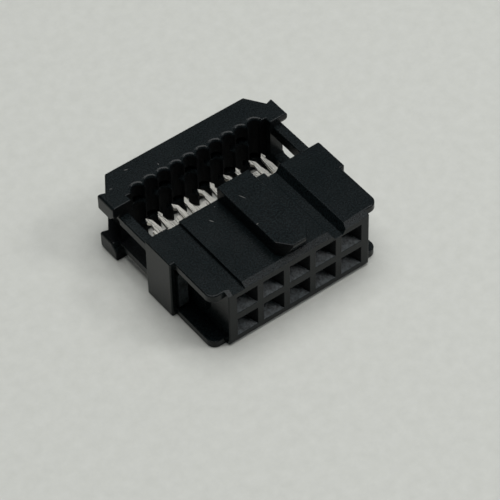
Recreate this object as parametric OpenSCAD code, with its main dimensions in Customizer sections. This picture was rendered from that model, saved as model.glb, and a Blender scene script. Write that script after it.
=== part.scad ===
// Two-row ribbon cable socket with insulation-displacing contacts, before its cable is pressed in.
// X runs along the contact columns, Y from the mating face back to the cover, Z up through the key.
// The origin is the middle of the underside, halfway between the mating face and the cover's back.

/* [Contact grid] */
// Number of contact columns
columns = 5; // [4:1:13]
// Spacing of the columns and of the two rows
pitch = 2.54; // [2.45:0.01:2.8]

/* [Housing] */
// Plastic from the outer column's centre to the end of the mating block
end_margin = 1.77; // [1.6:0.01:2.4]
// Depth of the housing from its mating face to its back
housing_d = 8.5; // [8:0.1:11]
// Thickness of the housing between its two wide faces
housing_h = 6.0; // [5.7:0.1:7]
// Depth of the bevel round the mating face's long edges
lip_d = 0.5; // [0.2:0.01:0.8]
// Height of that bevel
lip_h = 0.26; // [0.1:0.01:0.4]

/* [Pin sockets] */
// Width of a socket's mouth along the row
funnel_w = 1.96; // [1.4:0.02:2.1]
// Height of a socket's mouth
funnel_h = 1.81; // [1.4:0.01:2.1]
// Depth of the lead-in funnel
funnel_d = 0.9; // [0.5:0.05:1.1]
// Side of the square hole that the pin passes through
pin_hole = 0.85; // [0.7:0.01:1]
// Front wall left in front of the contact cavity
front_wall = 1.25; // [1.15:0.05:1.6]
// Width and height of the clear bore that the pin runs in
pin_bore = 1.05; // [0.9:0.01:1.2]

/* [Polarising key] */
// Width of the key
key_w = 3.08; // [2.4:0.02:3.6]
// Height of the key above the housing
key_h = 1.4; // [0.6:0.1:2]
// Width of the key's blunt nose
key_nose = 1.3; // [0.6:0.1:2]
// Length over which the key widens from its nose
key_taper = 1.1; // [0.5:0.1:3]
// Upright part of the key's nose, above its undercut
nose_land = 0.3; // [0.1:0.05:0.5]

/* [Channels in the key face] */
// Plain land between the left end of the block and the shallow channel
shallow_land = 0.4; // [0.2:0.05:0.8]
// Width of the shallow channel
shallow_w = 1.2; // [0.4:0.05:1.4]
// Depth of the shallow channel
shallow_depth = 0.32; // [0.1:0.01:0.4]
// Plain land between the right end of the block and the deep groove
deep_land = 2.2; // [1.8:0.05:2.4]
// Width of the deep groove at the surface
deep_w = 1.6; // [1:0.05:1.7]
// Width of the deep groove's floor
deep_floor = 0.75; // [0.4:0.05:0.9]
// Depth of the deep groove
deep_depth = 0.7; // [0.3:0.05:0.75]

/* [Housing ends] */
// Reach of the end flanges beyond the mating block
flange_reach = 1.3; // [1.2:0.05:1.8]
// Thickness of the end flanges
flange_t = 0.7; // [0.5:0.05:0.8]
// Set-back of the end flanges behind the mating face
flange_setback = 0.5; // [0.5:0.05:1.2]
// Corner radius of the end flanges
flange_r = 0.75; // [0.3:0.05:1]
// Depth of the strap that closes each end slot
strap_d = 3.3; // [2.4:0.1:3.4]
// How far the strap stands proud of the flanges
strap_proud = 0.4; // [0.3:0.02:0.6]
// Thickness of the strap
strap_t = 0.4; // [0.3:0.02:0.5]
// How far the catch holds the leg's crossbar by
catch_grip = 0.4; // [0.2:0.05:0.5]
// Length of the catch's ramp
catch_ramp = 1.2; // [0.8:0.1:1.4]
// Height of the lock wedge that holds the pressed cover
wedge_h = 0.28; // [0.1:0.02:0.3]

/* [Cover] */
// Gap between the housing and the open cover's tabs
cover_gap = 4.1; // [4:0.1:5]
// Set-back of the wire ridges behind the tabs
ridge_setback = 0.6; // [0.3:0.05:1]
// Thickness of the cover from the wire ridges to its back
cover_t = 3; // [2.6:0.1:4]
// Plain edge between the outer wire groove and the tab
ridge_margin = 0.47; // [0.2:0.01:0.7]
// Reach of the tabs beyond the cover's shoulders
tab_reach = 0.65; // [0.2:0.05:0.8]
// Length of the cover's shoulder beyond the tab's inner edge
shoulder_l = 1.13; // [1:0.01:1.5]
// Depth of the tabs
tab_d = 1.95; // [1.5:0.05:2.2]
// Rake of the tabs' back edges
tab_rake = 0.2; // [0.1:0.05:0.4]
// Thickness of the tabs
tab_t = 1.35; // [1:0.05:1.6]
// Chamfer of the tabs' inner front edges
tab_chamfer = 0.6; // [0.2:0.05:0.7]
// Length of the gusset behind a leg's root
gusset_l = 0.8; // [0.6:0.05:1.4]
// Run of the corner chamfer along the back
chamfer_run = 1.13; // [0.5:0.01:2]

/* [Wire grooves] */
// Depth of a wire groove
groove_depth = 0.6; // [0.4:0.01:0.7]
// Flat left on each ridge between two grooves
ridge_land = 0.1; // [0.06:0.01:0.2]
// Chamfer where a groove runs out at the wide faces
groove_rim = 0.17; // [0.05:0.01:0.25]
// Depth of the pocket that takes a fork, behind the ridges
pocket_d = 1.3; // [1.2:0.05:1.8]
// Clearance round a fork in its pocket
pocket_clear = 0.17; // [0.12:0.01:0.24]
// Chamfer of the lips between a pocket and its groove
pocket_lip = 0.1; // [0.05:0.01:0.15]

/* [Cover legs] */
// Thickness of a leg
leg_t = 0.9; // [0.5:0.05:0.9]
// Height of each of the two bars of a leg
bar_h = 1.1; // [0.6:0.05:1.2]
// Length of the crossbar that joins the bars at the tip
crossbar_l = 1; // [0.6:0.05:1.2]
// Length of a leg in front of the tabs
leg_l = 7.7; // [7.4:0.1:8.4]
// Clearance between a leg and its slot
leg_clear = 0.1; // [0.08:0.01:0.15]

/* [Contacts] */
// Thickness of the sheet
sheet_t = 0.3; // [0.2:0.01:0.35]
// Width of the stem and of the two spring arms
stem_w = 1.9; // [1.6:0.02:1.9]
// Clearance round the stem in the housing
stem_clear = 0.05; // [0.02:0.01:0.08]
// Width of each spring arm
arm_w = 0.5; // [0.3:0.02:0.5]
// Gap between the spring arms where they grip a pin
grip_gap = 0.52; // [0.4:0.02:0.6]
// Length of the solid stem inside the housing
stem_l = 2.8; // [2:0.1:3.5]
// Set-back of the spring arms' tips behind the front wall
arm_setback = 0.25; // [0.1:0.05:0.5]
// Height of the base that stands on the housing's back
base_h = 0.7; // [0.6:0.05:0.8]
// Height of the wing beside the fork above the housing's back
shoulder_h = 1.7; // [1.5:0.05:1.8]
// Height of the fork's tips above the housing's back
fork_h = 3.05; // [2.8:0.05:3.2]
// Distance between the fork's two tips
tip_gap = 1.24; // [1:0.02:1.3]
// Width of the fork across its barbs
barb_w = 1.5; // [1.4:0.02:1.56]
// Depth of the barbs below the tips
barb_drop = 0.43; // [0.3:0.01:0.5]
// Width of the fork's waist under the barbs
waist_w = 1.16; // [1.06:0.02:1.3]
// Depth of the waist below the tips
waist_drop = 0.65; // [0.55:0.01:0.8]
// Width of the fork at its foot
fork_w = 1.4; // [1.3:0.02:1.44]
// Width of the wire slot under its lead-in
slot_mouth = 0.58; // [0.5:0.02:0.66]
// Width of the wire slot at its bottom
wire_slot = 0.24; // [0.16:0.02:0.3]
// Depth of the V that leads a wire into the slot
lead_in = 0.45; // [0.3:0.05:0.6]
// Depth of the wire slot below the fork's tips
slot_depth = 2.45; // [1.8:0.05:2.5]
// Radius of the notch beside the fork
notch_r = 0.36; // [0.2:0.01:0.4]
// Width of the stub beside the first fork of a row
stub_w = 0.2; // [0.1:0.01:0.25]
// Height of the stub above the housing's back
stub_h = 1.6; // [1.2:0.05:1.7]
// Slit between the stub and its fork
stub_slit = 0.06; // [0.04:0.01:0.1]
// Gap between two neighbouring contacts
contact_gap = 0.09; // [0.05:0.01:0.2]

/* [Hidden] */
$fn = 48;
// Overlap that carries a cut past the surface it opens
cut = 0.5;
// Overlap that joins two shapes of one piece
weld = 0.4;

half_h = housing_h / 2;
row_z = pitch / 2;
block_x = (columns - 1) / 2 * pitch + end_margin;
flange_x = block_x + flange_reach;
strap_x = flange_x + strap_proud;
strap_in = strap_x - strap_t;
slot_z = half_h - flange_t;

leg_out = strap_in - leg_clear;
leg_in = leg_out - leg_t;
leg_z = slot_z - leg_clear;
window_z = leg_z - bar_h;

tab_y = housing_d + cover_gap;
ridge_y = tab_y + ridge_setback;
cover_back = ridge_y + cover_t;
leg_tip = tab_y - leg_l;
crossbar_back = leg_tip + crossbar_l;
recess_x = columns * pitch / 2 + ridge_margin;
shoulder_x = recess_x + shoulder_l;
tab_x = shoulder_x + tab_reach;
tab_z = half_h - tab_t;

groove_chord = pitch / 2 - ridge_land;
groove_r = (pow(groove_chord / 2, 2) + pow(groove_depth, 2)) / (2 * groove_depth);
groove_y = ridge_y + groove_depth - groove_r;

fork_x = pitch / 4;
arm_gap = stem_w - 2 * arm_w;
arm_tip = front_wall + arm_setback;
arm_root = housing_d - stem_l;
grip_y = arm_tip + arm_w;
shoulder_y = housing_d + shoulder_h;
base_y = housing_d + base_h;
fork_y = housing_d + fork_h;
slot_y = fork_y - slot_depth;

contact_count = 2 * columns;

function column_x(column) = (column - (columns - 1) / 2) * pitch;

// Sets a shape drawn from the mating face's centre into the part's own frame.
module seat() {
    translate([0, -cover_back / 2, half_h]) children();
}

module both_ends() {
    children();
    mirror([1, 0, 0]) children();
}

// Extrudes a profile drawn in Y and Z along X, evenly about the middle.
module along_x(length) {
    rotate([90, 0, 90]) linear_extrude(length, center = true) children();
}

// Extrudes a profile drawn in X and Z along Y, from the mating face backwards.
module along_y(length) {
    translate([0, length, 0]) rotate([90, 0, 0]) linear_extrude(length) children();
}

module upright(height) {
    linear_extrude(height, center = true) children();
}

// Plain block of the mating face, bevelled along its long front edges.
module mating_block() {
    along_x(2 * block_x)
        polygon([
            [0, lip_h - half_h], [lip_d, -half_h], [housing_d, -half_h],
            [housing_d, half_h], [lip_d, half_h], [0, half_h - lip_h]
        ]);
}

// Key with a blunt nose, undercut so that its foot stands behind the bevel.
module key() {
    difference() {
        translate([0, 0, half_h - lip_h])
            linear_extrude(lip_h + key_h)
                polygon([
                    [-key_w / 2, housing_d], [-key_w / 2, key_taper], [-key_nose / 2, 0],
                    [key_nose / 2, 0], [key_w / 2, key_taper], [key_w / 2, housing_d]
                ]);
        along_x(key_w + cut)
            polygon([
                [-cut, half_h + key_h - nose_land], [0, half_h + key_h - nose_land],
                [lip_d * 1.1, half_h], [lip_d * 1.1, -cut], [-cut, -cut]
            ]);
    }
}

module flange_plan() {
    inner = block_x - weld;
    translate([inner, flange_setback + flange_r])
        square([flange_x - inner, housing_d - flange_setback - flange_r]);
    translate([inner, flange_setback])
        square([flange_x - flange_r - inner, flange_r]);
    translate([flange_x - flange_r, flange_setback + flange_r])
        circle(flange_r);
}

// Flanges above and below the leg's slot, and the strap that closes the slot at the back.
module end_frame() {
    difference() {
        union() {
            for (low = [slot_z, -half_h])
                translate([0, 0, low]) linear_extrude(flange_t) flange_plan();
            translate([block_x - weld, housing_d - strap_d, -half_h])
                cube([strap_x - block_x + weld, strap_d, housing_h]);
        }
        translate([block_x, -cut, -slot_z])
            cube([strap_in - block_x, housing_d + 2 * cut, 2 * slot_z]);
    }
    // catch behind the crossbar, which keeps the open cover from pulling off
    upright(2 * (window_z - leg_clear * 2))
        polygon([
            [block_x - weld, crossbar_back + leg_clear],
            [leg_in + catch_grip, crossbar_back + leg_clear],
            [block_x, crossbar_back + leg_clear + catch_ramp],
            [block_x - weld, crossbar_back + leg_clear + catch_ramp]
        ]);
    // low wedge that the crossbar snaps over as the cover is pressed home
    upright(2 * (window_z - leg_clear * 2))
        polygon([
            [block_x - weld, crossbar_back / 2 - catch_ramp / 4],
            [block_x + wedge_h, crossbar_back / 2 - catch_ramp / 4],
            [block_x, crossbar_back / 2 + catch_ramp * 3 / 4],
            [block_x - weld, crossbar_back / 2 + catch_ramp * 3 / 4]
        ]);
}

// Pyramid that leads a pin in: two tapered prisms, crossed.
module funnel() {
    spread_x = (funnel_w - pin_hole) / 2 / funnel_d;
    spread_z = (funnel_h - pin_hole) / 2 / funnel_d;
    mouth_x = funnel_w / 2 + spread_x * cut;
    mouth_z = funnel_h / 2 + spread_z * cut;
    intersection() {
        upright(2 * mouth_z)
            polygon([
                [-mouth_x, -cut], [mouth_x, -cut],
                [pin_hole / 2, funnel_d], [-pin_hole / 2, funnel_d]
            ]);
        along_x(2 * mouth_x)
            polygon([
                [-cut, -mouth_z], [-cut, mouth_z],
                [funnel_d, pin_hole / 2], [funnel_d, -pin_hole / 2]
            ]);
    }
}

// Funnel, pin hole and the cavity that a contact is pushed into from behind.
module socket_cavity() {
    cavity_l = housing_d - front_wall + cut;
    stem_slot = stem_w + 2 * stem_clear;
    sheet_slot = sheet_t + 2 * stem_clear;
    funnel();
    translate([-pin_hole / 2, funnel_d - cut / 2, -pin_hole / 2])
        cube([pin_hole, front_wall - funnel_d + cut, pin_hole]);
    translate([-pin_bore / 2, front_wall, -pin_bore / 2])
        cube([pin_bore, cavity_l, pin_bore]);
    translate([-stem_slot / 2, front_wall, -sheet_slot / 2])
        cube([stem_slot, cavity_l, sheet_slot]);
}

module key_face_channels() {
    translate([shallow_land - block_x, -cut, half_h - shallow_depth])
        cube([shallow_w, housing_d + 2 * cut, shallow_depth + cut]);
    translate([block_x - deep_land - deep_w / 2, -cut, half_h])
        along_y(housing_d + 2 * cut)
            polygon([
                [-deep_w / 2, cut], [-deep_w / 2, 0], [-deep_floor / 2, -deep_depth],
                [deep_floor / 2, -deep_depth], [deep_w / 2, 0], [deep_w / 2, cut]
            ]);
}

// Moulded socket body with its key, end flanges and contact cavities.
module housing() {
    color("#222628") seat() {
        difference() {
            union() {
                mating_block();
                key();
                both_ends() end_frame();
            }
            key_face_channels();
            for (column = [0 : columns - 1], row = [-1, 1])
                translate([column_x(column), 0, row * row_z]) socket_cavity();
        }
    }
}

// Right half of the cover's plan, from the groove face round to the back.
function cover_edge() = [
    [recess_x, ridge_y], [recess_x, tab_y], [tab_x, tab_y], [tab_x, tab_y + tab_d + tab_rake],
    [shoulder_x, tab_y + tab_d], [shoulder_x - chamfer_run, cover_back]
];

module cover_plan() {
    right = cover_edge();
    last = len(right) - 1;
    left = [for (i = [last : -1 : 0]) [-right[i].x, right[i].y]];
    polygon(concat(right, left));
}

// Notch between the tabs, open to the end, which leaves a gusset behind the leg's root.
module end_notch() {
    far = tab_x + cut;
    flare = tab_z + tab_chamfer + cut;
    upright(2 * tab_z)
        polygon([
            [leg_out, tab_y - cut], [leg_out, tab_y], [leg_in, tab_y + gusset_l],
            [leg_in, cover_back + cut], [far, cover_back + cut], [far, tab_y - cut]
        ]);
    translate([(leg_out + far) / 2, 0, 0])
        along_x(far - leg_out)
            polygon([
                [tab_y - cut, -flare], [tab_y + tab_chamfer, -tab_z],
                [tab_y + tab_chamfer, tab_z], [tab_y - cut, flare]
            ]);
}

module wire_groove() {
    upright(housing_h + 2 * cut) circle(groove_r);
    for (face = [0, 1])
        mirror([0, 0, face])
            translate([0, 0, half_h - groove_rim])
                cylinder(h = groove_rim + cut, r1 = groove_r, r2 = groove_r + groove_rim + cut);
}

// Room for a fork to pass the ridges and enter the cover, with chamfered lips in its groove.
module fork_pocket() {
    pocket_w = barb_w + 2 * pocket_clear;
    pocket_h = sheet_t + 2 * pocket_clear;
    translate([-pocket_w / 2, ridge_y - cut, -pocket_h / 2])
        cube([pocket_w, pocket_d + cut, pocket_h]);
    for (face = [0, 1])
        mirror([0, 0, face])
            translate([0, groove_y, pocket_h / 4])
                cylinder(
                    h = pocket_h / 4 + pocket_lip * 1.5,
                    r1 = groove_r + pocket_lip + pocket_h / 4, r2 = groove_r - pocket_lip / 2
                );
}

// Two bars joined at the tip, with a window that slides along the housing's catch.
module leg() {
    difference() {
        translate([leg_in, leg_tip, -leg_z])
            cube([leg_t, leg_l + weld / 2, 2 * leg_z]);
        translate([leg_in - cut, crossbar_back, -window_z])
            cube([leg_t + 2 * cut, tab_y - crossbar_back, 2 * window_z]);
        end_notch();
    }
}

// Moulded pressure cover, which drives the wires onto the forks.
module cover() {
    color("#25292b") seat() {
        difference() {
            upright(housing_h) cover_plan();
            both_ends() end_notch();
            for (i = [0 : contact_count - 1])
                translate([(i - (contact_count - 1) / 2) * pitch / 2, groove_y, 0]) wire_groove();
            for (column = [0 : columns - 1], row = [-1, 1])
                translate([column_x(column) - row * fork_x, 0, row * row_z]) fork_pocket();
        }
        both_ends() leg();
    }
}

// Right-hand spring arm, from its root inside round its tip to the outer edge.
function spring_arm() = [
    [arm_gap / 2, arm_root], [arm_gap / 2, grip_y + 2 * arm_w], [grip_gap / 2, grip_y + arm_w / 2],
    [grip_gap / 2, grip_y], [arm_gap / 2, arm_tip], [stem_w / 2 - arm_w / 4, arm_tip], [stem_w / 2, grip_y]
];

// Right-hand tine of the fork that cuts into a wire's insulation, from its foot round to the slot.
function tine() = [
    [fork_w / 2, shoulder_y], [waist_w / 2, fork_y - waist_drop], [barb_w / 2, fork_y - barb_drop],
    [tip_gap / 2, fork_y], [slot_mouth / 2, fork_y - lead_in], [wire_slot / 2, slot_y]
];

// Outline of one flat stamping, with its fork to the left of the column.
function contact_outline(wing, stub) =
    let (
        arm = spring_arm(),
        fork = tine(),
        left = -fork_x - fork_w / 2,
        right = left + pitch - contact_gap,
        right_y = wing ? shoulder_y : base_y,
        stub_in = left - stub_slit,
        stub_out = stub_in - stub_w,
        stub_y = housing_d + stub_h
    )
    concat(
        arm,
        [[stem_w / 2, housing_d], [right, housing_d], [right, right_y], [fork_w / 2 - fork_x, right_y]],
        [for (i = [wing ? 1 : 0 : len(fork) - 1]) [fork[i].x - fork_x, fork[i].y]],
        [for (i = [len(fork) - 1 : -1 : 0]) [-fork[i].x - fork_x, fork[i].y]],
        stub ? [[left, base_y], [stub_in, base_y], [stub_in, stub_y], [stub_out, stub_y]] : [],
        [[stub ? stub_out : left, housing_d], [-stem_w / 2, housing_d]],
        [for (i = [len(arm) - 1 : -1 : 0]) [-arm[i].x, arm[i].y]]
    );

module stamped_contact(wing, stub) {
    difference() {
        upright(sheet_t) polygon(contact_outline(wing, stub));
        translate([-fork_x + fork_w / 2 + notch_r * 0.94, shoulder_y + notch_r / 2, 0])
            cylinder(h = sheet_t + cut, r = notch_r, center = true);
        translate([-fork_x, slot_y, 0])
            cylinder(h = sheet_t + cut, r = wire_slot / 2, center = true);
    }
}

// Contacts count along the upper row first, then along the lower row, where the forks face the other way.
// The first of a row has a stub beside its fork, and the last has no wing.
module contact(number) {
    upper = number <= columns;
    column = (number - 1) % columns;
    place = upper ? column : columns - 1 - column;
    color("#cfcabf") seat()
        translate([column_x(column), 0, upper ? row_z : -row_z])
            mirror([upper ? 0 : 1, 0, 0])
                stamped_contact(wing = place < columns - 1, stub = place == 0);
}

housing();
cover();
for (i = [1 : contact_count])
    contact(i);
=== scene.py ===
import math

import bmesh
import bpy
from mathutils import Euler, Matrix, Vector


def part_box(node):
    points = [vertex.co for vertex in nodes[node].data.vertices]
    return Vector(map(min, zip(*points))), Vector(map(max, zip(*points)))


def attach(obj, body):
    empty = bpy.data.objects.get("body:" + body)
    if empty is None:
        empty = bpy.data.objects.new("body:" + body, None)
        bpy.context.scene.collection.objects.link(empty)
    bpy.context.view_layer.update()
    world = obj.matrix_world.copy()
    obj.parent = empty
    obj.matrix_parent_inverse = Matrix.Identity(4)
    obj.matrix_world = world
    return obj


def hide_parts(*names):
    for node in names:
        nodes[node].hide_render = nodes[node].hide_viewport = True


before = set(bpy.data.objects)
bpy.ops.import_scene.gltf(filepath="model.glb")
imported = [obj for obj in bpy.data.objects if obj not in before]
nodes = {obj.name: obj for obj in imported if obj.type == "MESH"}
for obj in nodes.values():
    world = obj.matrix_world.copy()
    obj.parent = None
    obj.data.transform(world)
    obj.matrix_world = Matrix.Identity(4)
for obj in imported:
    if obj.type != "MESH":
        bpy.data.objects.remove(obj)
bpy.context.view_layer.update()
scene = bpy.context.scene

# The housing is one shot of black glass-filled thermoplastic, satin where the mould was polished.
# The mould leaves a small radius on the outer edges and rough funnels; the funnels' up-facing walls carry a
# painted light tone, and their other walls and the key's front corners carry painted shade.
# Handling has put a few pale scuffs on the key face.

to_mm = 1000


def rounded_copy(node, name, edge_radius, widest, reshape=None):
    """Copies a moulding's solid as one skin, and rounds each edge by the radius that a rule gives."""
    flat, rounded, creased = (math.radians(turn) for turn in (0.5, 20, 30))
    skin = bmesh.new()
    skin.from_mesh(node.data)
    bmesh.ops.remove_doubles(skin, verts=skin.verts, dist=1e-6)
    bmesh.ops.dissolve_limit(
        skin, angle_limit=flat, verts=skin.verts, edges=skin.edges, use_dissolve_boundaries=False
    )
    if reshape:
        reshape(skin)
    weight = skin.edges.layers.float.new("bevel_weight_edge")
    for edge in skin.edges:
        turn = edge.calc_face_angle()
        edge.smooth = turn < creased
        if edge.is_convex and turn > rounded:
            edge[weight] = edge_radius(*(corner.co * to_mm for corner in edge.verts)) / widest
    copy = bpy.data.objects.new(name, bpy.data.meshes.new(name))
    skin.to_mesh(copy.data)
    skin.free()
    scene.collection.objects.link(copy)
    rounding = copy.modifiers.new("mould_radius", "BEVEL")
    rounding.limit_method = "WEIGHT"
    rounding.width = widest / to_mm
    rounding.segments = 4
    rounding.profile = 0.5
    rounding.use_clamp_overlap = False
    rounding.harden_normals = True
    return copy


def node_in(tree, kind, **inputs):
    """Adds a shader node and sets its inputs by name."""
    made = tree.nodes.new(kind)
    for name, value in inputs.items():
        made.inputs[name.replace("_", " ")].default_value = value
    return made


def ramp_between(tree, source, low_colour, high_colour, levels=(0.3, 0.7)):
    """Turns a pattern into a blend of two colours between two of its levels."""
    ramp = tree.nodes.new("ShaderNodeValToRGB")
    for element, level, colour in zip(ramp.color_ramp.elements, levels, (low_colour, high_colour)):
        element.position = level
        element.color = (*colour, 1)
    tree.links.new(source, ramp.inputs["Fac"])
    return ramp.outputs["Color"]


def mixed(tree, share, first, second):
    """Blends two colours by a fixed share or a mask."""
    blend = tree.nodes.new("ShaderNodeMix")
    blend.data_type = "RGBA"
    if isinstance(share, float):
        blend.inputs["Factor"].default_value = share
    else:
        tree.links.new(share, blend.inputs["Factor"])
    for source, socket in ((first, blend.inputs["A"]), (second, blend.inputs["B"])):
        if isinstance(source, tuple):
            socket.default_value = (*source, 1)
        else:
            tree.links.new(source, socket)
    return blend.outputs["Result"]


def scuff_mask(tree, place, scuffs):
    """Mask of short scuffs, each given by its two ends and its width in millimetres."""
    reach_z = 0.1
    total = None
    for start, end, width in scuffs:
        run = Vector(end) - Vector(start)
        local = tree.nodes.new("ShaderNodeMapping")
        local.vector_type = "TEXTURE"
        local.inputs["Location"].default_value = (Vector(start) + run / 2) / to_mm
        local.inputs["Rotation"].default_value = (0, 0, math.atan2(run.y, run.x))
        local.inputs["Scale"].default_value = Vector((run.length / 2, width / 2, reach_z)) / to_mm
        reach = tree.nodes.new("ShaderNodeVectorMath")
        reach.operation = "LENGTH"
        tree.links.new(place, local.inputs["Vector"])
        tree.links.new(local.outputs["Vector"], reach.inputs[0])
        inside = node_in(tree, "ShaderNodeMapRange", From_Min=1.0, From_Max=0.5)
        tree.links.new(reach.outputs["Value"], inside.inputs["Value"])
        if total is None:
            total = inside.outputs["Result"]
            continue
        most = tree.nodes.new("ShaderNodeMath")
        most.operation = "MAXIMUM"
        tree.links.new(total, most.inputs[0])
        tree.links.new(inside.outputs["Result"], most.inputs[1])
        total = most.outputs["Value"]
    return total


def moulded_black(name, dark, light, gloss, skin, scuffs=()):
    """Black moulded thermoplastic: mottled tone, uneven satin, a fine grain and a few pale scuffs."""
    speckle_deep, speckle_pale, speckle_share = 0.2, 2.4, 0.75
    scuff_tone, scuff_satin = (0.10, 0.10, 0.095), (0.6, 0.6, 0.6)
    grain_height = 0.00003
    material = bpy.data.materials.new(name)
    material.use_nodes = True
    tree = material.node_tree
    shader = tree.nodes["Principled BSDF"]
    shader.inputs["Specular IOR Level"].default_value = skin["specular"]
    place = tree.nodes.new("ShaderNodeTexCoord").outputs["Object"]
    cloud = node_in(tree, "ShaderNodeTexNoise", Scale=420.0, Detail=5.0, Roughness=0.6)
    grain = node_in(tree, "ShaderNodeTexNoise", Scale=skin["grain"], Detail=3.0, Roughness=0.7)
    for pattern in (cloud, grain):
        tree.links.new(place, pattern.inputs["Vector"])
    mottle = ramp_between(tree, cloud.outputs["Fac"], dark, light)
    deep = tuple(speckle_deep * level for level in dark)
    pale = tuple(speckle_pale * level for level in light)
    speckle = ramp_between(tree, grain.outputs["Fac"], deep, pale, levels=(0.35, 0.65))
    tone = mixed(tree, speckle_share, mottle, speckle)
    satin = ramp_between(tree, cloud.outputs["Fac"], (gloss[0],) * 3, (gloss[1],) * 3)
    if scuffs:
        rubbed = scuff_mask(tree, place, scuffs)
        tone = mixed(tree, rubbed, tone, scuff_tone)
        satin = mixed(tree, rubbed, satin, scuff_satin)
    tree.links.new(tone, shader.inputs["Base Color"])
    tree.links.new(satin, shader.inputs["Roughness"])
    relief = node_in(tree, "ShaderNodeBump", Strength=skin["depth"], Distance=grain_height)
    tree.links.new(grain.outputs["Fac"], relief.inputs["Height"])
    tree.links.new(relief.outputs["Normal"], shader.inputs["Normal"])
    return material


housing_low, housing_high = (Vector(corner) * to_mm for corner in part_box("housing"))
touch = 0.01
clear = 0.1
face_z = 6.0
lip_z = 5.74
block_x = 6.85
flange_x = 8.15
flange_corner = 0.75
strap_y = housing_low.y + 5.2
slot_low, slot_high = 0.7, 5.3
funnels_x = 6.4
funnels_low, funnels_high = 0.3, lip_z - clear
funnel_mouth, funnel_foot = housing_low.y + 0.05, housing_low.y + 0.9
key_radius, key_root_radius = 0.08, 0.05
flange_radius, flange_back_radius = 0.12, 0.08
strap_radius = 0.15
slot_radius = 0.06
block_radius = 0.1
funnel_radius = 0.045
face_radius = 0.05


def housing_edge(a, b):
    """Radius in millimetres of the housing's edge between two corners."""
    near_x, far_x = sorted((abs(a.x), abs(b.x)))
    low_z, high_z = sorted((a.z, b.z))
    on_front = max(a.y, b.y) < housing_low.y + touch
    on_back = min(a.y, b.y) > housing_high.y - touch
    on_wide_face = high_z < touch or low_z > face_z - touch
    if high_z > face_z + clear:
        return key_radius if low_z > face_z + clear else key_root_radius
    if far_x > flange_x - flange_corner - touch and on_wide_face:
        return flange_back_radius if on_back else flange_radius
    if near_x > flange_x + clear:
        return strap_radius
    if near_x > block_x - touch and low_z > slot_low - touch and high_z < slot_high + touch:
        on_lip = high_z < slot_low + touch or low_z > slot_high - touch
        return slot_radius if on_lip and max(a.y, b.y) < strap_y + clear else 0.0
    if on_front and near_x > block_x - touch:
        return block_radius
    if on_front and far_x < funnels_x and low_z > funnels_low and high_z < funnels_high:
        return funnel_radius
    if on_wide_face and (on_back or abs(a.x - b.x) < touch):
        return face_radius
    return 0.0


housing_shell = rounded_copy(nodes["housing"], "housing_shell", housing_edge, strap_radius)
key_scuffs = (
    ((-0.75, -1.31, 7.4), (-0.46, -2.01, 7.4), 0.09),
    ((-1.54, -4.67, 7.4), (-1.29, -4.62, 7.4), 0.10),
    ((-3.38, -0.94, 6.0), (-3.14, -1.40, 6.0), 0.11),
    ((-2.20, -0.06, 6.0), (-2.15, -0.17, 6.0), 0.10),
)
polished_skin = {"specular": 0.18, "grain": 7000.0, "depth": 0.2}
eroded_skin = {"specular": 0.25, "grain": 3200.0, "depth": 1.0}
# Low-sheen skin for the darker copy of the black that paints shade.
painted_shade_skin = {"specular": 0.06, "grain": 6000.0, "depth": 0.5}
housing_black = moulded_black(
    "housing_black",
    dark=(0.0026, 0.0042, 0.0046),
    light=(0.0036, 0.0056, 0.0062),
    gloss=(0.19, 0.25),
    skin=polished_skin,
    scuffs=key_scuffs,
)
# Rough eroded skin, with a pale tone that is painted light on the lit funnel walls and the leg tips.
eroded_painted_lit_black = moulded_black(
    "eroded_painted_lit_black",
    dark=(0.0120, 0.0150, 0.0165),
    light=(0.0300, 0.0360, 0.0385),
    gloss=(0.36, 0.56),
    skin=eroded_skin,
)
# A darker, less reflective copy of the black: painted shade for grooves, the left leg's window, shaded
# funnel walls and the key's front corners.
painted_shade_black = moulded_black(
    "painted_shade_black",
    dark=(0.0022, 0.0028, 0.0032),
    light=(0.0034, 0.0042, 0.0048),
    gloss=(0.45, 0.60),
    skin=painted_shade_skin,
)
for material in (housing_black, eroded_painted_lit_black, painted_shade_black):
    housing_shell.data.materials.append(material)
housing_eroded_painted_lit, housing_painted_shade = 1, 2
upward = 0.2
askew = 0.3
# Up-facing funnel walls take the pale eroded tone as painted light; the funnels' other walls and the key's
# slanted front corners take the darker copy as painted shade.
for face in housing_shell.data.polygons:
    centre = Vector(face.center) * to_mm
    in_block = abs(centre.x) < funnels_x and funnels_low < centre.z < funnels_high
    if in_block and funnel_mouth < centre.y < funnel_foot:
        face.material_index = housing_eroded_painted_lit if face.normal.z > upward else housing_painted_shade
    if centre.z > face_z + clear and face.normal.y < -askew and abs(face.normal.x) > askew:
        face.material_index = housing_painted_shade
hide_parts("housing")
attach(housing_shell, "socket")

# The contacts are stamped from thin bronze strip and tin plated, so they stay bright but soft.
# Each is pushed into its cavity from behind until its wide base stands on the housing's back.

tin_bright = bpy.data.materials.new("tin_bright")
tin_bright.use_nodes = True
tin_tree = tin_bright.node_tree
tin_shader = tin_tree.nodes["Principled BSDF"]
tin_shader.inputs["Metallic"].default_value = 1.0
tin_place = tin_tree.nodes.new("ShaderNodeTexCoord")
tin_stretch = tin_tree.nodes.new("ShaderNodeMapping")
tin_stretch.inputs["Scale"].default_value = (1.0, 0.12, 1.0)
tin_streak = node_in(tin_tree, "ShaderNodeTexNoise", Scale=6000.0, Detail=4.0, Roughness=0.6)
tin_tree.links.new(tin_place.outputs["Object"], tin_stretch.inputs["Vector"])
tin_tree.links.new(tin_stretch.outputs["Vector"], tin_streak.inputs["Vector"])
tin_tone = ramp_between(tin_tree, tin_streak.outputs["Fac"], (0.54, 0.51, 0.46), (0.72, 0.69, 0.63))
tin_tree.links.new(tin_tone, tin_shader.inputs["Base Color"])
tin_gloss = ramp_between(tin_tree, tin_streak.outputs["Fac"], (0.24,) * 3, (0.34,) * 3)
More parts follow.
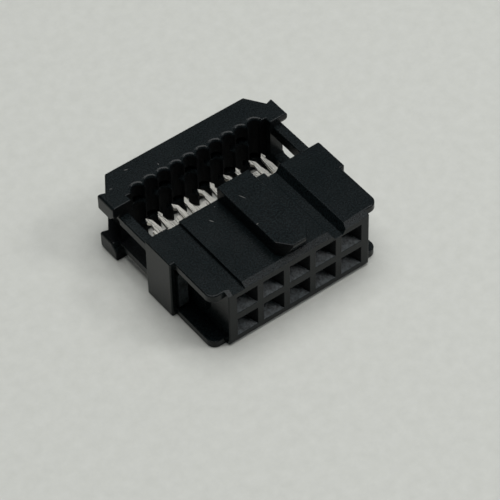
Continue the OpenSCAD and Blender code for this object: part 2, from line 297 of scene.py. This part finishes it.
tin_tree.links.new(tin_gloss, tin_shader.inputs["Roughness"])
for name, node in nodes.items():
    if name.startswith("contact_"):
        node.data.materials.clear()
        node.data.materials.append(tin_bright)

# The cover is a second moulding in the same black, held open by its two slotted legs.
# Its grooves and the left leg's window carry painted shade, and the leg tips are as rough as the funnels
# and carry the same painted light tone.
# It slides down the end slots when it is pressed home onto a cable.

cover_low, cover_high = (Vector(corner) * to_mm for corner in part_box("cover"))
recess_x = 6.82
leg_in, leg_out = 7.15, 8.05
leg_z = 2.2
tab_y = 4.5
tab_z = 1.65
tab_chamfer = 0.6
tab_swell = 0.35
window_z = 1.1
window_lead = 0.3
bar_swell = 0.19
top_bar_slim, low_bar_slim = 0.45, 0.2
bar_slant = 0.15
bar_lean = 0.2
ridge_y = 5.1
groove_rim = 0.17
pocket_lips = (1.31, 3.85)
upright_least = 0.3
rim_radius = 0.1
pocket_radius = 0.06
tab_upright_radius = 0.1
tab_front_radius = 0.1
tab_radius = 0.28
bar_radius = 0.08
wide_face_radius = 0.16
cover_radius = 0.12


def reshape_left_leg(skin):
    """Gives the left leg thicker tabs, slimmer bars, and a slant on top of the lower bar."""
    for corner in skin.verts:
        place = corner.co * to_mm
        if place.x > touch - leg_in:
            continue
        height = abs(place.z - face_z / 2)
        inward = math.copysign(1, face_z / 2 - place.z)
        on_tab = place.y > tab_y - touch and abs(height - tab_z) < touch
        on_chamfer = abs(place.y - tab_y) < touch and abs(height - tab_z - tab_chamfer) < touch
        if on_tab or on_chamfer:
            corner.co.z += inward * tab_swell / to_mm
        if place.y < tab_y + touch and abs(height - leg_z) < touch:
            corner.co.z += (low_bar_slim if inward > 0 else -top_bar_slim) / to_mm
        if abs(height - window_z) < touch:
            on_slant = inward > 0 and place.x < touch - leg_out
            corner.co.z += (-bar_slant if on_slant else inward * bar_swell) / to_mm
            if inward > 0 and not on_slant:
                corner.co.x += bar_lean / to_mm


def cover_edge(a, b):
    """Radius in millimetres of the cover's edge between two corners."""
    near_x, far_x = sorted((abs(a.x), abs(b.x)))
    near_y, far_y = sorted((a.y, b.y))
    low_z, high_z = sorted((a.z, b.z))
    if near_x < recess_x - clear and far_y < cover_high.y - clear:
        level = high_z - low_z < touch and near_y > ridge_y - touch
        if level and min(low_z, face_z - low_z) < groove_rim + touch:
            return rim_radius
        on_lip = level and min(abs(low_z - lip) for lip in pocket_lips) < touch
        return pocket_radius if on_lip else 0.0
    upright = high_z - low_z > upright_least and far_y - near_y < touch
    if upright and (near_x > leg_out - touch or far_x < leg_in + touch):
        on_tab = near_x > leg_out + clear or near_y > tab_y + clear
        return tab_upright_radius if on_tab else 0.0
    if near_x > leg_out - touch:
        return bar_radius if near_y < tab_y - clear else tab_radius
    if far_y < tab_y + touch and near_x > recess_x - touch and low_z > face_z - touch:
        return tab_front_radius
    if high_z < touch or low_z > face_z - touch:
        return wide_face_radius
    return cover_radius


cover_shell = rounded_copy(nodes["cover"], "cover_shell", cover_edge, tab_radius, reshape_left_leg)
cover_scuffs = (
    ((-5.46, 7.45, 6.0), (-5.09, 7.36, 6.0), 0.10),
    ((-2.88, 6.45, 6.0), (-2.91, 6.20, 6.0), 0.08),
    ((-7.55, 6.49, 6.0), (-7.27, 6.40, 6.0), 0.08),
)
cover_black = moulded_black(
    "cover_black",
    dark=(0.0036, 0.0052, 0.0056),
    light=(0.0046, 0.0066, 0.0072),
    gloss=(0.20, 0.27),
    skin=polished_skin,
    scuffs=cover_scuffs,
)
for material in (cover_black, painted_shade_black, eroded_painted_lit_black):
    cover_shell.data.materials.append(material)
cover_painted_shade, cover_eroded_painted_lit = 1, 2
forward = 0.9
# Painted shade on the groove walls and inside the left leg's window; the leg tips' front faces take the
# pale eroded tone, painted light on a rough skin.
for face in cover_shell.data.polygons:
    centre = Vector(face.center) * to_mm
    in_recess = abs(centre.x) < recess_x - clear and centre.y < cover_high.y - clear
    in_groove = in_recess and abs(face.normal.z) < askew
    in_window = leg_in - window_lead < -centre.x < leg_out - touch and abs(centre.z - face_z / 2) < tab_z
    if in_groove or in_window:
        face.material_index = cover_painted_shade
    if face.normal.y < -forward and centre.y < cover_low.y + touch:
        face.material_index = cover_eroded_painted_lit
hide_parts("cover")
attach(cover_shell, "press_cover")

# A pale matt worktop fills the view under the connector.
# Its tone drifts a little, as painted board does.

worktop_half = 0.6
floor_mesh = bmesh.new()
bmesh.ops.create_grid(floor_mesh, x_segments=1, y_segments=1, size=worktop_half)
floor = bpy.data.objects.new("worktop", bpy.data.meshes.new("worktop"))
floor_mesh.to_mesh(floor.data)
floor_mesh.free()
scene.collection.objects.link(floor)
worktop_pale = bpy.data.materials.new("worktop_pale")
worktop_pale.use_nodes = True
worktop_tree = worktop_pale.node_tree
worktop_shader = worktop_tree.nodes["Principled BSDF"]
worktop_place = worktop_tree.nodes.new("ShaderNodeTexCoord")
worktop_drift = node_in(worktop_tree, "ShaderNodeTexNoise", Scale=900.0, Detail=6.0, Roughness=0.65)
worktop_tree.links.new(worktop_place.outputs["Object"], worktop_drift.inputs["Vector"])
worktop_tone = ramp_between(
    worktop_tree, worktop_drift.outputs["Fac"], (0.575, 0.580, 0.540), (0.625, 0.630, 0.590)
)
worktop_tree.links.new(worktop_tone, worktop_shader.inputs["Base Color"])
worktop_shader.inputs["Roughness"].default_value = 0.7
floor.data.materials.append(worktop_pale)

# Soft studio light: one round panel overhead and a little behind, and a small one at the right front.
# The room around is dim, and darkest on the left.

room = bpy.data.worlds.new("dim_room")
room.use_nodes = True
room_tree = room.node_tree
room_light = room_tree.nodes["Background"]
room_light.inputs["Color"].default_value = (0.8, 0.95, 1.0, 1)
heading = room_tree.nodes.new("ShaderNodeTexCoord")
bright_side = room_tree.nodes.new("ShaderNodeVectorMath")
bright_side.operation = "DOT_PRODUCT"
bright_side.inputs[1].default_value = (0.9, 0.43, 0.0)
room_tree.links.new(heading.outputs["Generated"], bright_side.inputs[0])
room_level = node_in(room_tree, "ShaderNodeMapRange", From_Min=-0.4, From_Max=0.6, To_Min=0.03, To_Max=0.15)
room_tree.links.new(bright_side.outputs["Value"], room_level.inputs["Value"])
room_tree.links.new(room_level.outputs["Result"], room_light.inputs["Strength"])
scene.world = room


def soft_panel(name, place, size, power):
    """A round area lamp that faces the connector."""
    lamp = bpy.data.lights.new(name, "AREA")
    lamp.shape = "DISK"
    lamp.size = size
    lamp.energy = power
    lamp_object = bpy.data.objects.new(name, lamp)
    lamp_object.location = place
    aim = -Vector(place)
    lamp_object.rotation_euler = aim.to_track_quat("-Z", "Y").to_euler()
    scene.collection.objects.link(lamp_object)


soft_panel("overhead_panel", place=(0.035, 0.03, 0.447), size=0.46, power=1.85)
soft_panel("front_panel", place=(0.25, -0.20, 0.31), size=0.12, power=0.40)

# The camera looks down on the front left corner through a long lens.

camera_turn = (42.0036, 1.0869, -37.3187)
camera_data = bpy.data.cameras.new("photo_camera")
camera_data.sensor_width = 36.0
camera_data.lens = 207.71
camera_data.clip_start = 0.01
camera_data.clip_end = 5.0
camera = bpy.data.objects.new("photo_camera", camera_data)
camera.location = (-0.0899822, -0.1249915, 0.1702987)
camera.rotation_euler = Euler([math.radians(angle) for angle in camera_turn])
scene.collection.objects.link(camera)
scene.camera = camera
scene.view_settings.view_transform = "Standard"
